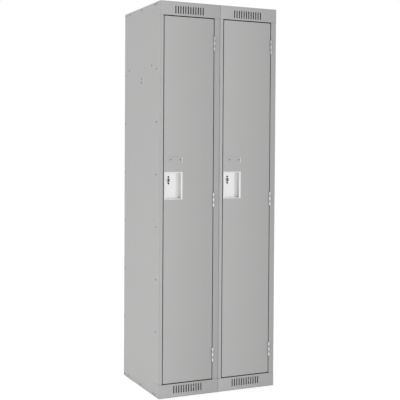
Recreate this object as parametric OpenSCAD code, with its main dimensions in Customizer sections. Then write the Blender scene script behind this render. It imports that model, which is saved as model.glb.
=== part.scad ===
// Two-bay steel locker cabinet with full-height flush doors.
// It stands on the plane z = 0 and its doors face -y. The origin is at the
// middle of its bounding box on the floor. Doors hang on their right-hand edge.
// Pieces of one locker are drawn from its own left face (x), from the plane of
// the frame faces (y, going back) and from the floor (z).

/* [Cabinet] */
// Width over both lockers
cabinet_w = 610; // [500:1:760]
// Depth from the frame faces to the backs
cabinet_d = 457; // [370:1:610]
// Height from the floor to the top
cabinet_h = 1829; // [1500:1:2200]

/* [Sheets] */
// Steel of the door frames
frame_t = 1.5; // [1.2:0.1:2]
// Steel of sides, backs, tops, bottoms, shelves and door liners
sheet_t = 0.8; // [0.6:0.1:1]
// Steel of the outer door skins
skin_t = 1.2; // [0.9:0.1:1.6]

/* [Door frame] */
// Height of the header and footer faces
rail_h = 64.5; // [60:0.5:90]
// Face width of the stile on the latch side
latch_stile_w = 16.8; // [14:0.1:30]
// Face width of the stile on the hinge side
hinge_stile_w = 28.4; // [22:0.1:45]
// Depth of the frame's returns along the sides and the top
return_d = 50; // [46:1:60]
// Outer radius of the fold at the outer corner of each stile
fold_r = 3; // [3:0.5:10]
// How far the door stop reaches behind the door
stop_lap = 12; // [10:0.5:16]
// Space between the door and its stop
stop_gap = 3; // [2:0.1:4]

/* [Vents] */
// Slots in each header and footer
vent_count = 12; // [4:1:13]
// Spacing of the slots
vent_pitch = 12.7; // [9:0.1:14]
// Width of a slot
vent_w = 5; // [3:0.1:7]
// Length of a slot
vent_h = 35; // [20:1:38]
// Distance of a slot from the cabinet's top or foot
vent_edge = 20; // [6:1:22]

/* [Doors] */
// Thickness of a door
door_t = 22; // [20.5:0.5:28]
// Gap around a door
door_gap = 4; // [3.6:0.1:6]
// Corner radius on the hinge side of a door
door_corner_r = 6; // [2:0.5:10]
// Depth of the liner's flanges inside the skin
liner_lap = 4; // [3:0.5:12]
// Width of the stiffener inside a door
stiffener_w = 60; // [40:1:70]
// Distance of the stiffener's ends from the door's ends
stiffener_inset = 30; // [15:1:80]

/* [Hinges] */
// Height of a hinge
hinge_h = 63.5; // [50:0.5:90]
// Distance of the outer hinges' centres from the cabinet's ends
hinge_inset = 183; // [130:1:300]
// Knuckles on a hinge, an odd number
knuckle_count = 5; // [3:2:7]
// Outer radius of a knuckle
knuckle_r = 3.75; // [3.1:0.05:4.5]
// Gap between neighbouring knuckles
knuckle_gap = 0.4; // [0.3:0.05:0.8]
// Radius of a hinge pin
pin_r = 1.9; // [1.2:0.05:2.2]
// Steel of the hinge leaves
leaf_t = 1.2; // [0.8:0.1:1.4]
// Depth of a leaf behind its knuckles
leaf_d = 17; // [14:1:17]

/* [Handle pan] */
// Width of the recessed handle pan
pan_w = 92; // [80:1:100]
// Height of the handle pan
pan_h = 127; // [100:1:160]
// Height of the pan's middle above the floor
pan_z = 982.5; // [800:0.5:1100]
// Distance of the pan from the door's latch edge
pan_inset = 2; // [1:0.5:10]
// Steel of the pan
pan_t = 0.8; // [0.6:0.1:1.2]
// Flange width on the latch side
pan_rim_latch = 6; // [4:0.5:12]
// Flange width on the hinge side
pan_rim_hinge = 9; // [4:0.5:12]
// Flange width at the top and the bottom
pan_rim_end = 3.5; // [3:0.5:12]
// Depth of the pan's floor behind the door face
pan_floor = 13; // [10:0.5:15]
// Depth of the finger pocket behind the door face
pocket_depth = 18.4; // [16:0.1:18.4]
// Width of the finger pocket
pocket_w = 15; // [12:0.5:22]

/* [Padlock lug] */
// Distance of the lug from the door's latch edge
lug_inset = 28; // [24:0.5:34]
// Height of the lug above the middle of the pan
lug_rise = 25; // [0:0.5:30]
// Steel of the lug
lug_t = 3; // [2.5:0.1:4]
// Height of the lug's tongue
lug_h = 14; // [12:0.5:15]
// Radius of the padlock hole
shackle_r = 4; // [3:0.1:4.5]
// Radius of the two lock screw holes in the pan
lock_hole_r = 4.6; // [2.5:0.1:5]
// Distance between the two lock screw holes
lock_hole_pitch = 29; // [28:0.5:36]

/* [Number plate] */
// Width of the number plate
plate_w = 71.4; // [60:0.1:90]
// Height of the number plate
plate_h = 28.6; // [20:0.1:40]
// Height of the plate's middle above the middle of the pan
plate_rise = 119.5; // [90:0.5:200]
// Thickness of the plate
plate_t = 1; // [0.8:0.1:1.5]
// Distance between the plate's rivets
plate_rivet_pitch = 50; // [40:1:56]

/* [Inside] */
// Distance of the hat shelf below the top
shelf_drop = 278; // [200:1:400]
// Distance of the shelf's front behind the frame faces
shelf_front = 62; // [58:1:100]
// Height of the shelf's turned-down edges
shelf_lip = 20; // [15:1:30]
// Distance of the side hooks below the shelf
hook_drop = 71; // [50:1:120]
// Radius of the hook wire
hook_r = 2.5; // [2:0.1:3]
// Steel of the hook plates
hook_t = 2; // [1.5:0.1:3]

/* [Fastening] */
// Radius of a panel bolt
bolt_r = 2.4; // [2:0.1:3]
// Distance of the front bolt columns behind the frame faces
front_bolt_y = 43; // [38:0.5:43]
// Distance of the rear bolt columns from the back
back_bolt_inset = 10; // [8:0.5:10]
// Distance of the highest column bolt below the top
column_drop = 309; // [300:1:330]
// Spacing of the column bolts
column_pitch = 243.5; // [150:0.5:300]
// Lowest height of a column bolt above the floor
column_floor = 280; // [100:1:400]
// Distance of the bolts in tops and bottoms from the cabinet's ends
edge_bolt_inset = 10.5; // [9:0.5:13]
// Distance of the middle bolts and hooks behind the frame faces
middle_y = 233; // [190:1:250]
// Radius of the floor anchor holes
floor_anchor_r = 5; // [4:0.5:7]
// Radius of the wall anchor holes
wall_anchor_r = 4.5; // [3:0.5:6]
// Distance of the wall anchor holes below the top
wall_anchor_drop = 150; // [100:1:220]
// Distance between the two anchor holes of a back or of a bottom's row
anchor_pitch = 160; // [120:1:180]

/* [Hidden] */
$fn = 48;
SIDE = ["left", "right"];
SHARED = [
    "left_side_panel", "centre_partition", "right_side_panel",
    "left_panel_bolts", "centre_panel_bolts", "right_panel_bolts",
    "left_panel_nuts", "centre_panel_nuts", "right_panel_nuts"
];
PER_LOCKER = [
    "header", "footer", "latch_stile", "hinge_stile", "back_panel",
    "top_panel", "bottom_panel", "hat_shelf", "ceiling_hook",
    "ceiling_hook_rivets", "side_hooks", "padlock_lug", "frame_rivets",
    "magnetic_catch", "door_bumpers", "frame_hinge_leaves", "hinge_pins",
    "door_hinge_leaves", "door_skin", "door_liner", "door_stiffener",
    "handle_pan", "number_plate", "plate_rivets", "hinge_rivets"
];

// Cut depth past a surface, so that no cut ends on one
past = 1;
// Play of a bolt or rivet in its hole, on the radius
hole_play = 0.35;
// Play between sheets that pass each other
sheet_play = 0.5;
// Running play of a hinge pin, on the radius
pin_play = 0.05;
// Clearance of knuckles from the door, the stile and the other leaf
knuckle_play = 0.4;
// Distance of the walls and of the trays' lips behind what they pass
wall_front = fold_r + 2;
tray_lip_y = return_d + 1;

// Lockers: one frame each, a single partition between them
locker_w = (cabinet_w - sheet_t) / 2;
locker_x = [-cabinet_w / 2, sheet_t / 2];
// Clear bays between the panels
bay_w = locker_w - frame_t - sheet_t;
bay_x = [-cabinet_w / 2 + frame_t + sheet_t, sheet_t / 2];

// Door and its opening
door_x0 = latch_stile_w + door_gap;
door_x1 = locker_w - hinge_stile_w - door_gap;
door_z0 = rail_h + door_gap;
door_z1 = cabinet_h - rail_h - door_gap;
stop_y = door_t + stop_gap;
stop_back = stop_y + frame_t;
latch_stop_x = latch_stile_w + door_gap + stop_lap;
hinge_stop_x = locker_w - hinge_stile_w - door_gap - stop_lap;
liner_y = door_t - sheet_t;

// Hinge axis: the knuckles stand just far enough out to clear both corners
axis_x = locker_w - hinge_stile_w - door_gap / 2;
axis_y = -sqrt(pow(knuckle_r + knuckle_play, 2) - pow(door_gap / 2, 2));
leaf_slit = door_gap - 2 * leaf_t;
leaf_y0 = axis_y + sqrt(pow(knuckle_r + knuckle_play, 2) - pow(leaf_slit / 2, 2));
knuckle_h = (hinge_h - (knuckle_count - 1) * knuckle_gap) / knuckle_count;
hinge_z = [hinge_inset, cabinet_h / 2, cabinet_h - hinge_inset];
hinge_rivet_y = 6;
hinge_rivet_inset = 11;
hinge_rivet_z = hinge_h / 2 - hinge_rivet_inset;

// Whole cabinet, with its knuckles, centred front to back
front_reach = knuckle_r - axis_y;
face_y = (front_reach - cabinet_d) / 2;

// Handle pan, its openings and the lug that comes through it
pan_x0 = door_x0 + pan_inset;
pan_x1 = pan_x0 + pan_w;
cup_x0 = pan_x0 + pan_rim_latch;
cup_x1 = pan_x1 - pan_rim_hinge;
cup_z0 = pan_z - pan_h / 2 + pan_rim_end;
cup_z1 = pan_z + pan_h / 2 - pan_rim_end;
cup_slope = 4;
pocket_slope = 2;
cup_play = 0.6;
lug_x = door_x0 + lug_inset;
lug_z = pan_z + lug_rise;
lug_tip_y = 0.5;
lug_base_h = 38;
lug_play = 1.5;
lug_end_play = 1;
liner_window = 5;
stop_edge_inset = 1.5;
rivet_inset = 8;
rivet_x = latch_stile_w + rivet_inset;
rivet_spread = 12;
catch_rise = 130;
catch_z = lug_z + catch_rise;
catch_h = 40;
catch_w = 13;
catch_d = 12;
catch_ear_t = 2;
catch_play = 0.4;
stiffener_x = (pan_x1 + door_x1) / 2;
plate_x = pan_x1 - plate_w / 2;
plate_z = pan_z + plate_rise;
plate_lip_w = 5;
plate_lip_h = 2.2;

// Bumpers
bumper_inset = 10;
bumper_end_inset = 150;
bumper_x = latch_stile_w + bumper_inset;
bumper_z = [door_z0 + bumper_end_inset, door_z1 - bumper_end_inset];
bumper_r = 5;
bumper_neck_r = 2;
bumper_bulb_r = 3;
bumper_bulb_h = 3;
bumper_play = 0.3;

// Tops, bottoms, backs and shelves
tray_front = 25;
tray_lip = 20;
back_lip = 18;
back_lip_play = 2;
back_lip_end = frame_t + tray_lip + back_lip_play;
// Distances of the floor anchors from the frame faces and from the back
floor_anchor_inset = [120, 100];
shelf_z = cabinet_h - shelf_drop;
hook_z = shelf_z - hook_drop;
hook_bolt_pitch = 18;
hook_plate = [16, 34];
hook_reach = 16;
hook_bend_r = 9;
hook_tip = 7;
hook_ball_r = 3.8;
ceiling_hook_stem = 24;
ceiling_hook_bend_r = 13;
ceiling_hook_plate = [60, 18];
ceiling_rivet_x = 20;

// Fasteners
bolt_head_r = 4.6;
bolt_head_h = 1.7;
nut_r = 4.6;
nut_h = 3.4;
bolt_spare = 1.2;
rivet_r = 2;
rivet_head_r = 3.6;
rivet_head_h = 1.2;
plate_rivet_r = 1.6;
plate_rivet_head_r = 2.8;
plate_rivet_head_h = 1.1;
hinge_rivet_r = 1.6;
hinge_rivet_head_r = 2.5;
hinge_rivet_head_h = 0.5;
pin_head_r = 3;
pin_head_h = 1;

// Places of the panel bolts, as [y, z]
column_count = floor((cabinet_h - column_drop - column_floor) / column_pitch) + 1;
column_z = [for (k = [0 : column_count - 1]) cabinet_h - column_drop - k * column_pitch];
ends_z = [edge_bolt_inset, cabinet_h - edge_bolt_inset];
frame_spots = concat(
    [for (z = column_z) [front_bolt_y, z]],
    [for (z = ends_z) [front_bolt_y, z]]
);
back_spots = [for (z = column_z) [cabinet_d - back_bolt_inset, z]];
tray_bolt_front = 20;
tray_bolt_rear = [62, 15.5];
tray_bolt_y = [
    return_d + tray_bolt_front, middle_y,
    cabinet_d - tray_bolt_rear[0], cabinet_d - tray_bolt_rear[1]
];
tray_spots = [for (y = tray_bolt_y, z = ends_z) [y, z]];
shelf_bolt_inset = [42, 61];
shelf_bolt_y = [shelf_front + shelf_bolt_inset[0], cabinet_d - shelf_bolt_inset[1]];
shelf_spots = [for (y = shelf_bolt_y) [y, shelf_z - shelf_lip / 2]];
hook_spots = [for (s = [-1, 1]) [middle_y, hook_z + s * hook_bolt_pitch / 2]];
wall_spots = concat(frame_spots, back_spots, tray_spots, shelf_spots, hook_spots);

// A block given by its extent along each axis
module slab(x, y, z)
    translate([x[0], y[0], z[0]])
        cube([x[1] - x[0], y[1] - y[0], z[1] - z[0]]);

// A rod along x, along y or along z from a to b
module rod_x(r, x, y, z)
    translate([x[0], y, z]) rotate([0, 90, 0]) cylinder(r = r, h = x[1] - x[0]);

module rod_y(r, x, y, z)
    translate([x, y[0], z]) rotate([-90, 0, 0]) cylinder(r = r, h = y[1] - y[0]);

module rod_z(r, x, y, z)
    translate([x, y, z[0]]) cylinder(r = r, h = z[1] - z[0]);

// A flat outline in x and z, thickened from y[0] to y[1]
module upright(y)
    translate([0, y[1], 0]) rotate([90, 0, 0])
        linear_extrude(y[1] - y[0]) children();

// Bolt holes through a sheet that spans x, at [y, z] spots
module bolt_holes(x, spots)
    for (s = spots) rod_x(bolt_r + hole_play, [x[0] - past, x[1] + past], s[0], s[1]);

module in_cabinet() translate([0, face_y, 0]) children();
module in_locker(i) translate([locker_x[i], face_y, 0]) children();
module in_bay(i) translate([bay_x[i], face_y, 0]) children();

// ---- Walls ----

// Outer side: behind the frame's return, notched under its end flanges
module outer_side() {
    x = [frame_t, frame_t + sheet_t];
    difference() {
        slab(x, [wall_front, cabinet_d], [0, cabinet_h]);
        for (z = [[-past, frame_t], [cabinet_h - frame_t, cabinet_h + past]])
            slab([x[0] - past, x[1] + past], [0, return_d + sheet_play], z);
        bolt_holes(x, wall_spots);
    }
}

module left_side_panel()
    color("lightgray") in_locker(0) outer_side();

module right_side_panel()
    color("lightgray") in_cabinet() translate([cabinet_w / 2, 0, 0]) mirror([1, 0, 0])
        outer_side();

module centre_partition() {
    x = [-sheet_t / 2, sheet_t / 2];
    color("lightgray") in_cabinet() difference() {
        slab(x, [wall_front, cabinet_d], [0, cabinet_h]);
        bolt_holes(x, wall_spots);
    }
}

// Closed tray on the floor: plate, turned-up sides and rear. Tops are its mirror image.
module tray() {
    plate_z = [frame_t, frame_t + sheet_t];
    lip_z = [frame_t, frame_t + tray_lip];
    tongue = frame_t + sheet_play;
    difference() {
        union() {
            slab([0, bay_w], [tray_lip_y, cabinet_d - sheet_t], plate_z);
            slab([tongue, bay_w - tongue], [tray_front, tray_lip_y + past], plate_z);
            for (x = [0, bay_w - sheet_t])
                slab([x, x + sheet_t], [tray_lip_y, cabinet_d - sheet_t], lip_z);
            slab([0, bay_w], [cabinet_d - 2 * sheet_t, cabinet_d - sheet_t], lip_z);
        }
        bolt_holes([0, bay_w], tray_spots);
    }
}

module bottom_panel(i)
    color("silver") in_bay(i) difference() {
        tray();
        for (s = [-1, 1], y = [floor_anchor_inset[0], cabinet_d - floor_anchor_inset[1]])
            rod_z(floor_anchor_r, bay_w / 2 + s * anchor_pitch / 2, y, [0, frame_t + 2 * sheet_t]);
    }

module top_panel(i)
    color("silver") in_bay(i) translate([0, 0, cabinet_h]) mirror([0, 0, 1]) tray();

module back_panel(i)
    color("silver") in_bay(i) difference() {
        union() {
            slab([0, bay_w], [cabinet_d - sheet_t, cabinet_d], [0, cabinet_h]);
            for (x = [0, bay_w - sheet_t])
                slab([x, x + sheet_t], [cabinet_d - back_lip, cabinet_d],
                    [back_lip_end, cabinet_h - back_lip_end]);
        }
        bolt_holes([0, bay_w], back_spots);
        for (s = [-1, 1])
            rod_y(wall_anchor_r, bay_w / 2 + s * anchor_pitch / 2,
                [cabinet_d - sheet_t - past, cabinet_d + past], cabinet_h - wall_anchor_drop);
    }

module hat_shelf(i) {
    rear = cabinet_d - sheet_t;
    notch_y = cabinet_d - back_lip - sheet_play;
    notch_x = sheet_t + sheet_play;
    lip_z = [shelf_z - shelf_lip, shelf_z];
    color("silver") in_bay(i) difference() {
        union() {
            slab([0, bay_w], [shelf_front, notch_y], [shelf_z - sheet_t, shelf_z]);
            slab([notch_x, bay_w - notch_x], [notch_y - past, rear], [shelf_z - sheet_t, shelf_z]);
            for (x = [0, bay_w - sheet_t])
                slab([x, x + sheet_t], [shelf_front, notch_y], lip_z);
            slab([0, bay_w], [shelf_front, shelf_front + sheet_t], lip_z);
            slab([notch_x, bay_w - notch_x], [rear - sheet_t, rear], lip_z);
        }
        bolt_holes([0, bay_w], shelf_spots);
        for (s = [-1, 1])
            rod_z(rivet_r + hole_play, bay_w / 2 + s * ceiling_rivet_x, middle_y,
                [shelf_z - 2 * sheet_t, shelf_z + past]);
    }
}

// ---- Door frame ----

// Folded section of a stile: side return, round outer fold, face, jamb and stop
module stile_section(face_w) {
    translate([0, fold_r]) square([frame_t, return_d - fold_r]);
    intersection() {
        square(fold_r);
        translate([fold_r, fold_r]) difference() {
            circle(r = fold_r);
            circle(r = fold_r - frame_t);
        }
    }
    translate([fold_r, 0]) square([face_w - fold_r, frame_t]);
    translate([face_w - frame_t, 0]) square([frame_t, stop_back]);
    translate([face_w - frame_t, stop_y]) square([frame_t + door_gap + stop_lap, frame_t]);
}

module stile(face_w)
    difference() {
        translate([0, 0, rail_h]) linear_extrude(cabinet_h - 2 * rail_h) stile_section(face_w);
        bolt_holes([0, frame_t], frame_spots);
    }

module latch_stile(i)
    color("gainsboro") in_locker(i) difference() {
        stile(latch_stile_w);
        for (z = [lug_z, catch_z], s = [-1, 1])
            rod_y(rivet_r + hole_play, rivet_x, [stop_y - past, stop_back + past],
                z + s * rivet_spread);
        for (z = bumper_z)
            rod_y(bumper_neck_r, bumper_x, [stop_y - past, stop_back + past], z);
    }

module hinge_stile(i)
    color("gainsboro") in_locker(i) translate([locker_w, 0, 0]) mirror([1, 0, 0])
        stile(hinge_stile_w);

// Footer across the foot of a frame. The header is its mirror image.
module rail() {
    middle = (door_x0 + door_x1) / 2;
    difference() {
        union() {
            slab([0, locker_w], [0, frame_t], [0, rail_h]);
            slab([0, locker_w], [0, return_d], [0, frame_t]);
            slab([latch_stile_w - frame_t, locker_w - hinge_stile_w + frame_t], [0, stop_back],
                [rail_h - frame_t, rail_h]);
            slab([latch_stop_x + sheet_play, hinge_stop_x - sheet_play], [stop_y, stop_back],
                [rail_h - frame_t, rail_h + door_gap + stop_lap]);
            for (x = [0, locker_w - frame_t])
                slab([x, x + frame_t], [0, return_d], [0, rail_h]);
        }
        for (k = [0 : vent_count - 1]) {
            x = middle + (k - (vent_count - 1) / 2) * vent_pitch;
            slab([x - vent_w / 2, x + vent_w / 2], [-past, frame_t + past],
                [vent_edge, vent_edge + vent_h]);
        }
        bolt_holes([0, locker_w], frame_spots);
    }
}

module footer(i)
    color("gainsboro") in_locker(i) rail();

module header(i)
    color("gainsboro") in_locker(i) translate([0, 0, cabinet_h]) mirror([0, 0, 1]) rail();

// ---- Door ----

// Front outline of a door, drawn in by inset, with round corners on the hinge side
module door_outline(inset) {
    x0 = door_x0 + inset;
    x1 = door_x1 - inset;
    z0 = door_z0 + inset;
    z1 = door_z1 - inset;
    r = door_corner_r - inset;
    translate([x0, z0]) square([x1 - r - x0, z1 - z0]);
    translate([x1 - r, z0 + r]) square([r, z1 - z0 - 2 * r]);
    for (z = [z0 + r, z1 - r]) translate([x1 - r, z]) circle(r = r);
}

// A pressed tray with its floor at y = floor_y and its walls running to y = wall_y
module door_tray(inset, t, floor_y, wall_y)
    difference() {
        upright([min(floor_y[0], wall_y[0]), max(floor_y[1], wall_y[1])]) door_outline(inset);
        upright(wall_y) door_outline(inset + t);
    }

module rivet_holes_in_door()
    for (z = hinge_z, s = [-1, 1])
        rod_x(hinge_rivet_r + pin_play, [door_x1 - skin_t - past, axis_x],
            hinge_rivet_y, z + s * hinge_rivet_z);

module door_skin(i)
    color("lightgray") in_locker(i) difference() {
        door_tray(0, skin_t, [0, skin_t], [skin_t, door_t + past]);
        slab([-past, locker_w + past], [door_t, door_t + 2 * past], [0, cabinet_h]);
        slab([cup_x0 - pan_t - cup_play, cup_x1 + pan_t + cup_play], [-past, skin_t + past],
            [cup_z0 - pan_t - cup_play, cup_z1 + pan_t + cup_play]);
        for (s = [-1, 1])
            rod_y(plate_rivet_r + pin_play, plate_x + s * plate_rivet_pitch / 2,
                [-past, skin_t + past], plate_z);
        rivet_holes_in_door();
    }

module door_liner(i)
    color("silver") in_locker(i) difference() {
        upright([door_t - liner_lap, door_t]) door_outline(skin_t);
        upright([door_t - liner_lap - past, liner_y]) door_outline(skin_t + sheet_t);
        slab([lug_x - lug_t / 2 - liner_window, lug_x + lug_t / 2 + liner_window],
            [liner_y - past, door_t + past],
            [lug_z - lug_h / 2 - liner_window, lug_z + lug_h / 2 + liner_window]);
    }

// Hat section between the skin and the liner
module door_stiffener(i) {
    foot = stiffener_w / 4;
    crown_y = [liner_y - sheet_t, liner_y];
    z = [door_z0 + stiffener_inset, door_z1 - stiffener_inset];
    color("gray") in_locker(i) translate([stiffener_x, 0, 0]) {
        for (s = [0, 1]) mirror([s, 0, 0]) {
            slab([foot, 2 * foot], [skin_t, skin_t + sheet_t], z);
            slab([foot, foot + sheet_t], [skin_t, liner_y], z);
        }
        slab([-foot - sheet_t, foot + sheet_t], crown_y, z);
    }
}

// Plan section of the pan's cup, grown by t
module cup_section(t) {
    pocket_x = cup_x1 - pocket_w;
    polygon([
        [cup_x0 - t, -pan_t],
        [cup_x0 + cup_slope - t, pan_floor - pan_t + t],
        [pocket_x - cup_slope - t, pan_floor - pan_t + t],
        [pocket_x - t, pocket_depth + t],
        [cup_x1 - pocket_slope + t, pocket_depth + t],
        [cup_x1 + t, -pan_t]
    ]);
}

module handle_pan(i)
    color("whitesmoke") in_locker(i) difference() {
        union() {
            slab([pan_x0, pan_x1], [-pan_t, 0], [pan_z - pan_h / 2, pan_z + pan_h / 2]);
            translate([0, 0, cup_z0 - pan_t]) linear_extrude(cup_z1 - cup_z0 + 2 * pan_t)
                cup_section(pan_t);
        }
        translate([0, -past, cup_z0]) linear_extrude(cup_z1 - cup_z0) cup_mouth();
        translate([0, 0, cup_z0]) linear_extrude(cup_z1 - cup_z0) cup_section(0);
        slab([lug_x - lug_t / 2 - lug_play, lug_x + lug_t / 2 + lug_play],
            [pan_floor - 2 * past, pan_floor + 2 * past],
            [lug_z - lug_h / 2 - lug_end_play, lug_z + lug_h / 2 + lug_end_play]);
        for (s = [-1, 1])
            rod_y(lock_hole_r, lug_x, [pan_floor - 2 * past, pan_floor + 2 * past],
                lug_z + s * lock_hole_pitch / 2);
    }

// Mouth of the cup, cut through the front of the flange
module cup_mouth()
    translate([cup_x0, -pan_t]) square([cup_x1 - cup_x0, pan_t + past / 2]);

module number_plate(i) {
    x1 = plate_x + plate_w / 2;
    lip_x = x1 - plate_lip_w;
    color("lightgray") in_locker(i) difference() {
        translate([0, 0, plate_z - plate_h / 2]) linear_extrude(plate_h) polygon([
            [plate_x - plate_w / 2, 0], [plate_x - plate_w / 2, -plate_t],
            [lip_x, -plate_t], [x1, -plate_t - plate_lip_h],
            [x1, -plate_lip_h], [lip_x + plate_t / 2, 0]
        ]);
        for (s = [-1, 1])
            rod_y(plate_rivet_r + pin_play, plate_x + s * plate_rivet_pitch / 2,
                [-plate_t - past, past], plate_z);
    }
}

module plate_rivets(i)
    color("gray") in_locker(i) for (s = [-1, 1]) {
        x = plate_x + s * plate_rivet_pitch / 2;
        rod_y(plate_rivet_r, x, [-plate_t, skin_t], plate_z);
        rod_y(plate_rivet_head_r, x, [-plate_t - plate_rivet_head_h, -plate_t], plate_z);
        rod_y(plate_rivet_head_r, x, [skin_t, skin_t + plate_rivet_head_h], plate_z);
    }

// ---- Hinges ----

// Leaf with knuckles number first, first + 2 and so on; it lies on side s of the slit
module leaf(s, first) {
    foot = -hinge_h / 2;
    difference() {
        union() {
            mirror([s < 0 ? 1 : 0, 0, 0])
                slab([leaf_slit / 2, leaf_slit / 2 + leaf_t],
                    [leaf_y0 - axis_y, leaf_y0 - axis_y + leaf_d], [foot, -foot]);
            for (k = [first : 2 : knuckle_count - 1]) {
                z = foot + k * (knuckle_h + knuckle_gap);
                rod_z(knuckle_r, 0, 0, [z, z + knuckle_h]);
                mirror([s < 0 ? 1 : 0, 0, 0])
                    slab([leaf_slit / 2, leaf_slit / 2 + leaf_t],
                        [0, leaf_y0 - axis_y + past], [z, z + knuckle_h]);
            }
        }
        rod_z(pin_r + pin_play, 0, 0, [foot - past, past - foot]);
    }
}

module at_hinges()
    for (z = hinge_z) translate([axis_x, axis_y, z]) children();

module frame_hinge_leaves(i)
    color("lightgray") in_locker(i) at_hinges() leaf(1, 0);

module door_hinge_leaves(i)
    color("lightgray") in_locker(i) difference() {
        at_hinges() leaf(-1, 1);
        rivet_holes_in_door();
    }

module hinge_pins(i)
    color("silver") in_locker(i) at_hinges() {
        rod_z(pin_r, 0, 0, [-hinge_h / 2, hinge_h / 2]);
        for (s = [0, 1]) mirror([0, 0, s])
            rod_z(pin_head_r, 0, 0, [hinge_h / 2, hinge_h / 2 + pin_head_h]);
    }

module hinge_rivets(i) {
    outer = axis_x - leaf_slit / 2;
    inner = door_x1 - skin_t;
    color("silver") in_locker(i) for (z = hinge_z, s = [-1, 1]) {
        rz = z + s * hinge_rivet_z;
        rod_x(hinge_rivet_r, [inner, outer], hinge_rivet_y, rz);
        rod_x(hinge_rivet_head_r, [outer, outer + hinge_rivet_head_h], hinge_rivet_y, rz);
        rod_x(hinge_rivet_head_r, [inner - hinge_rivet_head_h, inner], hinge_rivet_y, rz);
    }
}

// ---- Locking and closing ----

module padlock_lug(i) {
    base_y = [stop_back, stop_back + lug_t];
    color("dimgray") in_locker(i) difference() {
        union() {
            slab([latch_stile_w + stop_edge_inset, latch_stop_x], base_y,
                [lug_z - lug_base_h / 2, lug_z + lug_base_h / 2]);
            slab([latch_stop_x - past, lug_x + lug_t / 2], base_y,
                [lug_z - lug_h / 2, lug_z + lug_h / 2]);
            slab([lug_x - lug_t / 2, lug_x + lug_t / 2], [lug_tip_y, base_y[1]],
                [lug_z - lug_h / 2, lug_z + lug_h / 2]);
        }
        rod_x(shackle_r, [lug_x - lug_t, lug_x + lug_t], lug_tip_y + lug_h / 2, lug_z);
        for (s = [-1, 1])
            rod_y(rivet_r + hole_play, rivet_x, [base_y[0] - past, base_y[1] + past],
                lug_z + s * rivet_spread);
    }
}

module magnetic_catch(i) {
    front = door_t + catch_play;
    body_x = latch_stop_x + sheet_play;
    z = [catch_z - catch_h / 2, catch_z + catch_h / 2];
    color("darkslategray") in_locker(i) difference() {
        union() {
            slab([latch_stile_w + stop_edge_inset, body_x + past],
                [stop_back, stop_back + catch_ear_t], z);
            slab([body_x, body_x + catch_w], [front, front + catch_d], z);
        }
        for (s = [-1, 1])
            rod_y(rivet_r + hole_play, rivet_x, [stop_back - past, stop_back + catch_ear_t + past],
                catch_z + s * rivet_spread);
    }
}

// Rivets of the lug and of the catch through the stop
module frame_rivets(i)
    color("gray") in_locker(i) for (grip = [[lug_z, lug_t], [catch_z, catch_ear_t]], s = [-1, 1]) {
        z = grip[0] + s * rivet_spread;
        rear = stop_back + grip[1];
        rod_y(rivet_r, rivet_x, [stop_y, rear], z);
        rod_y(rivet_head_r, rivet_x, [stop_y - rivet_head_h, stop_y], z);
        rod_y(rivet_head_r, rivet_x, [rear, rear + rivet_head_h], z);
    }

module door_bumpers(i)
    color("dimgray") in_locker(i) for (z = bumper_z) {
        rod_y(bumper_r, bumper_x, [door_t + bumper_play, stop_y], z);
        rod_y(bumper_neck_r, bumper_x, [stop_y, stop_back], z);
        rod_y(bumper_bulb_r, bumper_x, [stop_back, stop_back + bumper_bulb_h], z);
    }

// ---- Hooks ----

// Wire hook that leaves a wall along +x and turns up, ending in a ball
module wall_hook() {
    difference() {
        slab([0, hook_t], [-hook_plate[0] / 2, hook_plate[0] / 2],
            [-hook_plate[1] / 2, hook_plate[1] / 2]);
        for (s = [-1, 1])
            rod_x(bolt_r + hole_play, [-past, hook_t + past], 0, s * hook_bolt_pitch / 2);
    }
    rod_x(hook_r, [hook_t / 2, hook_reach], 0, 0);
    translate([hook_reach, 0, hook_bend_r]) rotate([90, 0, 0])
        rotate_extrude(angle = -90) translate([hook_bend_r, 0]) circle(r = hook_r);
    rod_z(hook_r, hook_reach + hook_bend_r, 0, [hook_bend_r, hook_bend_r + hook_tip]);
    translate([hook_reach + hook_bend_r, 0, hook_bend_r + hook_tip]) sphere(r = hook_ball_r);
}

module side_hooks(i)
    color("silver") in_bay(i) translate([0, middle_y, hook_z]) {
        wall_hook();
        translate([bay_w, 0, 0]) mirror([1, 0, 0]) wall_hook();
    }

// Two-pronged hook under the shelf: a plate, a stem and two upturned arms
module ceiling_hook(i) {
    plate_z = -sheet_t - hook_t;
    color("silver") in_bay(i) translate([bay_w / 2, middle_y, shelf_z]) {
        difference() {
            slab([-ceiling_hook_plate[0] / 2, ceiling_hook_plate[0] / 2],
                [-ceiling_hook_plate[1] / 2, ceiling_hook_plate[1] / 2], [plate_z, -sheet_t]);
            for (s = [-1, 1])
                rod_z(rivet_r + hole_play, s * ceiling_rivet_x, 0, [plate_z - past, 0]);
        }
        rod_z(hook_r, 0, 0, [-ceiling_hook_stem, plate_z + hook_t / 2]);
        for (s = [0, 1]) mirror([s, 0, 0]) {
            translate([ceiling_hook_bend_r, 0, -ceiling_hook_stem]) rotate([90, 0, 0])
                rotate_extrude(angle = -180) translate([ceiling_hook_bend_r, 0]) circle(r = hook_r);
            rod_z(hook_r, 2 * ceiling_hook_bend_r, 0, [-ceiling_hook_stem, -ceiling_hook_stem + past]);
            translate([2 * ceiling_hook_bend_r, 0, -ceiling_hook_stem + past]) sphere(r = hook_ball_r);
        }
    }
}

module ceiling_hook_rivets(i) {
    foot = -sheet_t - hook_t;
    color("gray") in_bay(i) for (s = [-1, 1])
        translate([bay_w / 2 + s * ceiling_rivet_x, middle_y, shelf_z]) {
            rod_z(rivet_r, 0, 0, [foot, 0]);
            rod_z(rivet_head_r, 0, 0, [0, rivet_head_h]);
            rod_z(rivet_head_r, 0, 0, [foot - rivet_head_h, foot]);
        }
}

// ---- Panel bolts and nuts ----

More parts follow.
